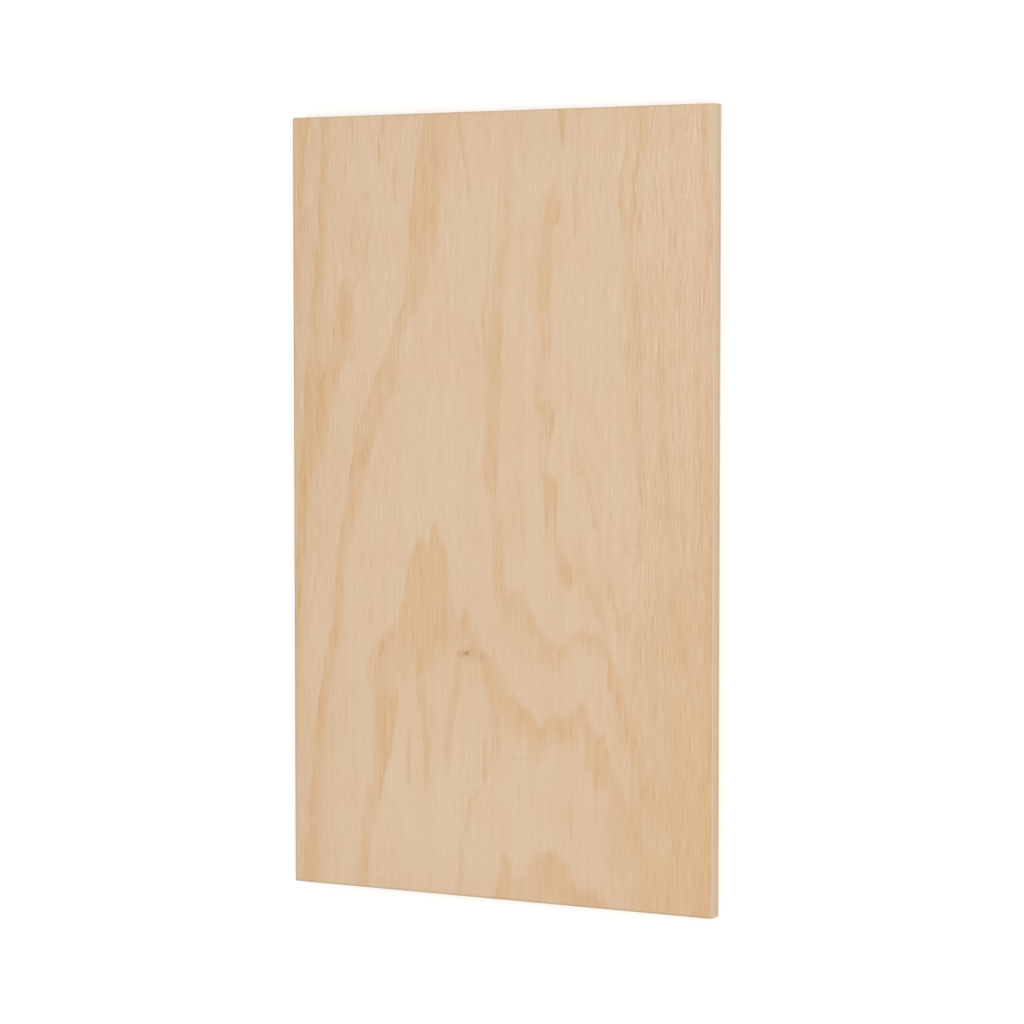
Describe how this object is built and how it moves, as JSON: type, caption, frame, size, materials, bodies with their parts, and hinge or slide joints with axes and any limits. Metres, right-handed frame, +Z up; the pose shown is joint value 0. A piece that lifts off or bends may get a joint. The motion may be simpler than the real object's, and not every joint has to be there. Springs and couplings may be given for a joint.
{
  "type": "plywood sheet",
  "caption": "Flat rectangular plywood panel with a pale rotary-cut face, square sawn edges that show its crossed plies, and lightly eased arrises.",
  "frame": {"origin": "middle of the underside, on the floor that the sheet lies on", "axes": "+Z up out of the face veneer, +Y along the face grain and the length, +X across the width"},
  "size_m": [0.6, 1, 0.021],
  "materials": {
    "veneer": "sanded, unfinished"
  },
  "bodies": {
    "root": {"plywood_sheet": "veneer"}
  },
  "joints": []
}
